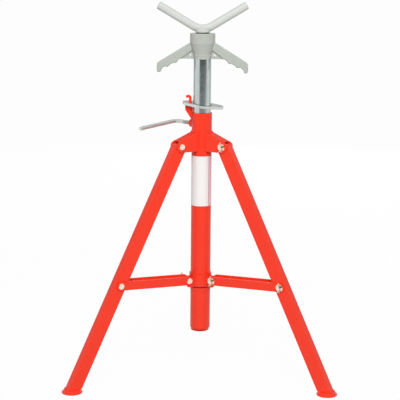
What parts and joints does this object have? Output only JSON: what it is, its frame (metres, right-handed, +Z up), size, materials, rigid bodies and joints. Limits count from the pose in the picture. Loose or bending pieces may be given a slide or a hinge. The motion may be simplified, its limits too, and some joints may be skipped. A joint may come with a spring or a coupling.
{
  "type": "pipe jack stand",
  "caption": "Folding steel tripod stand with a sliding inner tube, a lock plate, a two-arm jack nut and a swivelling V head that carries pipe.",
  "frame": {"origin": "on the floor, on the mast axis", "axes": "+Z up along the mast, +Y towards the rear leg, +X to the right as seen from the front"},
  "size_m": [0.6466, 0.5665, 0.9017],
  "materials": {
    "red_paint": "gloss red powder coat on steel",
    "zinc": "bright zinc plated steel",
    "grey_casting": "grey-green painted casting",
    "grey_paint": "light grey painted steel",
    "dark_steel": "dark oiled steel thread"
  },
  "bodies": {
    "mast": {"mast_tube": "red_paint", "leg_bracket_1": "red_paint", "leg_bracket_2": "red_paint", "leg_bracket_3": "red_paint", "lock_bracket": "red_paint", "clamp_boss": "red_paint", "collar_stop_ring": "red_paint", "top_pins": "zinc", "top_pin_keepers": "zinc"},
    "collar": {"collar": "red_paint", "collar_pins": "zinc", "collar_pin_keepers": "zinc"},
    "brace_1": {"brace_bars_1": "red_paint", "leg_pin_1": "zinc", "leg_pin_keepers_1": "zinc"},
    "leg_1": {"leg_1": "red_paint", "foot_1": "red_paint"},
    "brace_2": {"brace_bars_2": "red_paint", "leg_pin_2": "zinc", "leg_pin_keepers_2": "zinc"},
    "leg_2": {"leg_2": "red_paint", "foot_2": "red_paint"},
    "brace_3": {"brace_bars_3": "red_paint", "leg_pin_3": "zinc", "leg_pin_keepers_3": "zinc"},
    "leg_3": {"leg_3": "red_paint", "foot_3": "red_paint"},
    "tube": {"inner_tube": "zinc", "thrust_washer": "zinc"},
    "nut": {"nut_handle": "grey_casting"},
    "screw": {"jack_screw": "dark_steel"},
    "head": {"v_head": "grey_paint"},
    "lock": {"lock_plate": "zinc"},
    "clamp_shoe": {"clamp_pad": "zinc"},
    "clamp": {"clamp_screw": "zinc"}
  },
  "joints": [
    {"name": "collar_slide", "type": "slide", "parent": "mast", "child": "collar", "axis": [0, 0, 1], "range_m": [0, 0.15401]},
    {"name": "brace_fold_1", "type": "hinge", "parent": "collar", "child": "brace_1", "pos_m": [0, 0.0395, 0.23522], "axis": [-1, 0, 0], "range_deg": [0, 85.8]},
    {"name": "leg_fold_1", "type": "hinge", "parent": "brace_1", "child": "leg_1", "pos_m": [0, 0.22323, 0.24482], "axis": [-1, 0, 0], "range_deg": [-59.1, 0]},
    {"name": "brace_fold_2", "type": "hinge", "parent": "collar", "child": "brace_2", "pos_m": [-0.03421, -0.01975, 0.23522], "axis": [0.5, -0.866, 0], "range_deg": [0, 85.8]},
    {"name": "leg_fold_2", "type": "hinge", "parent": "brace_2", "child": "leg_2", "pos_m": [-0.19332, -0.11162, 0.24482], "axis": [0.5, -0.866, 0], "range_deg": [-59.1, 0]},
    {"name": "brace_fold_3", "type": "hinge", "parent": "collar", "child": "brace_3", "pos_m": [0.03421, -0.01975, 0.23522], "axis": [0.5, 0.866, 0], "range_deg": [0, 85.8]},
    {"name": "leg_fold_3", "type": "hinge", "parent": "brace_3", "child": "leg_3", "pos_m": [0.19332, -0.11162, 0.24482], "axis": [0.5, 0.866, 0], "range_deg": [-59.1, 0]},
    {"name": "tube_height", "type": "slide", "parent": "mast", "child": "tube", "axis": [0, 0, 1], "range_m": [-0.08, 0.42]},
    {"name": "nut_turn", "type": "hinge", "parent": "tube", "child": "nut", "pos_m": [0, 0, 0.79], "axis": [0, 0, -1], "range_deg": [0, 7200]},
    {"name": "screw_lift", "type": "slide", "parent": "tube", "child": "screw", "axis": [0, 0, 1], "range_m": [0, 0.1016]},
    {"name": "head_swivel", "type": "hinge", "parent": "screw", "child": "head", "pos_m": [0, 0, 0.82], "axis": [0, 0, 1], "continuous": true},
    {"name": "lock_lift", "type": "hinge", "parent": "mast", "child": "lock", "pos_m": [-0.04, 0, 0.66425], "axis": [-0.6092, -0.793, 0], "range_deg": [0, 9.05]},
    {"name": "clamp_shoe_slide", "type": "slide", "parent": "mast", "child": "clamp_shoe", "axis": [-0.7071, 0.7071, 0], "range_m": [0, 0.00317]},
    {"name": "clamp_turn", "type": "hinge", "parent": "clamp_shoe", "child": "clamp", "pos_m": [-0.02121, 0.02121, 0.613], "axis": [-0.7071, 0.7071, 0], "range_deg": [0, 720]}
  ],
  "couplings": [
    {"joint": "brace_fold_1", "follows": "collar_slide", "rad_per_m": 9.7209},
    {"joint": "leg_fold_1", "follows": "collar_slide", "rad_per_m": -6.6951},
    {"joint": "brace_fold_2", "follows": "collar_slide", "rad_per_m": 9.7209},
    {"joint": "leg_fold_2", "follows": "collar_slide", "rad_per_m": -6.6951},
    {"joint": "brace_fold_3", "follows": "collar_slide", "rad_per_m": 9.7209},
    {"joint": "leg_fold_3", "follows": "collar_slide", "rad_per_m": -6.6951},
    {"joint": "screw_lift", "follows": "nut_turn", "m_per_rad": 0.00080851},
    {"joint": "clamp_shoe_slide", "follows": "clamp_turn", "m_per_rad": 0.00025266}
  ]
}
